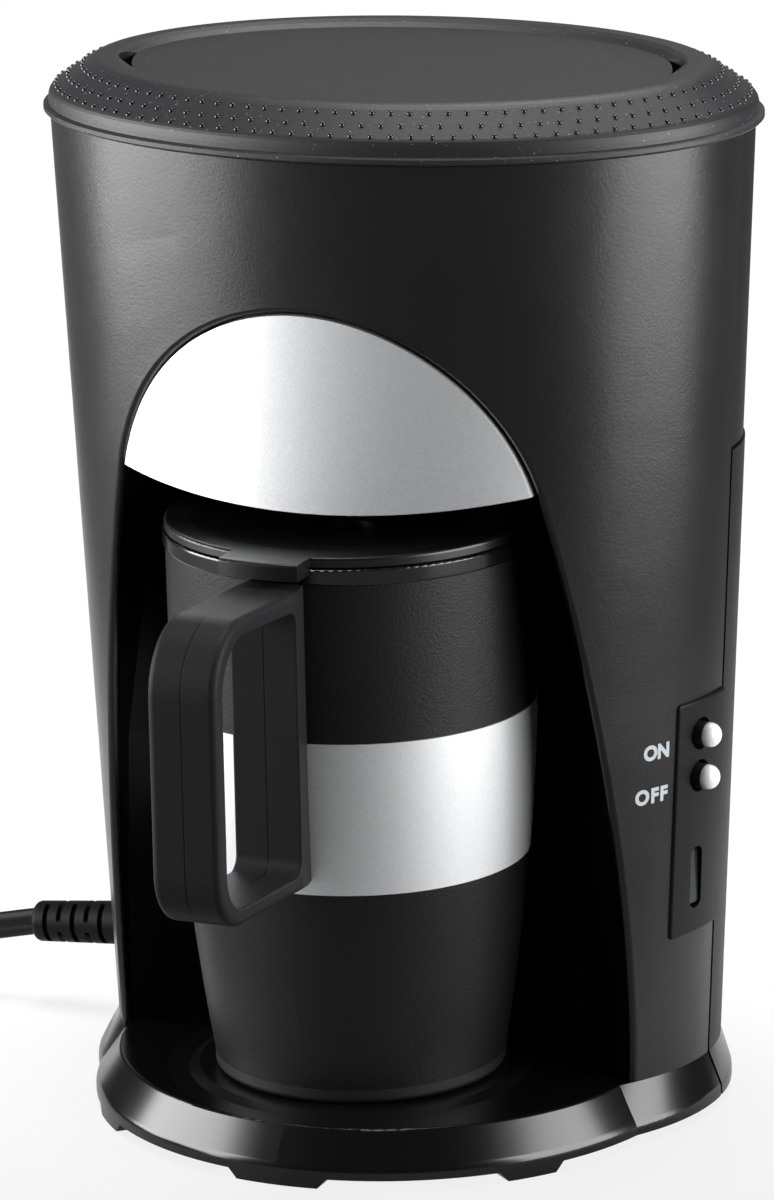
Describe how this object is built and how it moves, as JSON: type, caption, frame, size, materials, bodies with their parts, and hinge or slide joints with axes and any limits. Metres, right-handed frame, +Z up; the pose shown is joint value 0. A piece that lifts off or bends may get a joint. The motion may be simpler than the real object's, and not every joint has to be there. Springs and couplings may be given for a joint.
{
  "type": "drip coffee maker",
  "caption": "Compact oval drip coffee maker with a lift-off lid, an arched bay, side push buttons and an insulated handled mug that slides out.",
  "frame": {"origin": "on the table plane, under the middle of the machine's outline with the mug in its bay, cord left out", "axes": "+Z up, -Y the front with the mug's handle, +X the side with the push buttons"},
  "size_m": [0.257, 0.1753, 0.2203],
  "materials": {
    "satin_black": "fine satin texture",
    "gloss_black_cover": "smooth semi-gloss",
    "liner_black": "satin",
    "silver_panel": "satin silver paint",
    "gloss_black_base": "gloss",
    "plate_black": "satin",
    "screw_steel": "bright",
    "mug_coat": "fine textured coat",
    "steel_inner": "satin",
    "steel_band": "satin",
    "collar_gloss": "gloss",
    "handle_black": "satin",
    "mug_lid_black": "semi-gloss",
    "silicone": "matt translucent",
    "tank_plastic": "satin",
    "basket_plastic": "satin",
    "steel_ball": "bright",
    "heater_cast": "as drawn",
    "bracket_steel": "zinc plated",
    "thermostat_case": "satin",
    "fuse_sleeve": "woven glass sleeve",
    "switch_black": "smooth",
    "button_silver": "satin silver paint",
    "switch_case": "satin",
    "lens_clear": "smoked red, clear",
    "lamp_glass": "clear",
    "cord_pvc": "soft PVC, satin",
    "clamp_plastic": "satin",
    "tie_strip": "satin",
    "blade_metal": "nickel-pale"
  },
  "bodies": {
    "machine": {"front_shell": "satin_black", "front_panel": "silver_panel", "rear_upper_cover": "gloss_black_cover", "rear_lower_cover": "gloss_black_cover", "bay_liner": "liner_black", "base_tray": "gloss_black_base", "base_rear": "gloss_black_base", "bottom_plate": "plate_black", "bottom_screws": "screw_steel", "water_tank": "tank_plastic", "riser_pipe": "tank_plastic", "check_valve": "tank_plastic", "valve_ball": "steel_ball", "inlet_hose": "silicone", "outlet_hose": "silicone", "heater": "heater_cast", "heater_bracket": "bracket_steel", "thermostat": "thermostat_case", "thermal_fuse": "fuse_sleeve", "switch_panel": "switch_black", "switch_module": "switch_case", "indicator_lens": "lens_clear", "indicator_lamp": "lamp_glass", "strain_relief": "cord_pvc", "cord_clamp": "clamp_plastic", "power_cord": "cord_pvc", "cord_coil": "cord_pvc", "cord_tie": "tie_strip", "plug_body": "cord_pvc", "plug_blades": "blade_metal"},
    "lid": {"lid": "satin_black", "shower_plate": "tank_plastic"},
    "basket": {"drip_basket": "basket_plastic"},
    "mug": {"mug_shell": "mug_coat", "mug_liner": "steel_inner", "mug_base": "handle_black", "mug_band": "steel_band", "mug_collar": "collar_gloss", "mug_handle": "handle_black"},
    "mug_lid": {"mug_lid": "mug_lid_black", "mug_lid_seal": "silicone"},
    "on_button": {"on_button": "button_silver"},
    "off_button": {"off_button": "button_silver"}
  },
  "joints": [
    {"name": "lid_lift", "type": "slide", "parent": "machine", "child": "lid", "axis": [0, 0, 1], "range_m": [0, 0.15]},
    {"name": "basket_lift", "type": "slide", "parent": "machine", "child": "basket", "axis": [0, 0, 1], "range_m": [0, 0.075]},
    {"name": "mug_slide", "type": "slide", "parent": "machine", "child": "mug", "axis": [0, -1, 0], "range_m": [0, 0.14]},
    {"name": "mug_lid_turn", "type": "hinge", "parent": "mug", "child": "mug_lid", "pos_m": [0, -0.00235, 0.13], "axis": [0, 0, 1], "continuous": true},
    {"name": "on_press", "type": "slide", "parent": "machine", "child": "on_button", "axis": [-0.9668, 0.2555, 0], "range_m": [0, 0.0025], "stiffness_N_per_m": 400},
    {"name": "off_press", "type": "slide", "parent": "machine", "child": "off_button", "axis": [-0.9668, 0.2555, 0], "range_m": [0, 0.0025], "stiffness_N_per_m": 400}
  ],
  "couplings": [
    {"joint": "basket_lift", "follows": "lid_lift", "ratio": 0.5}
  ]
}
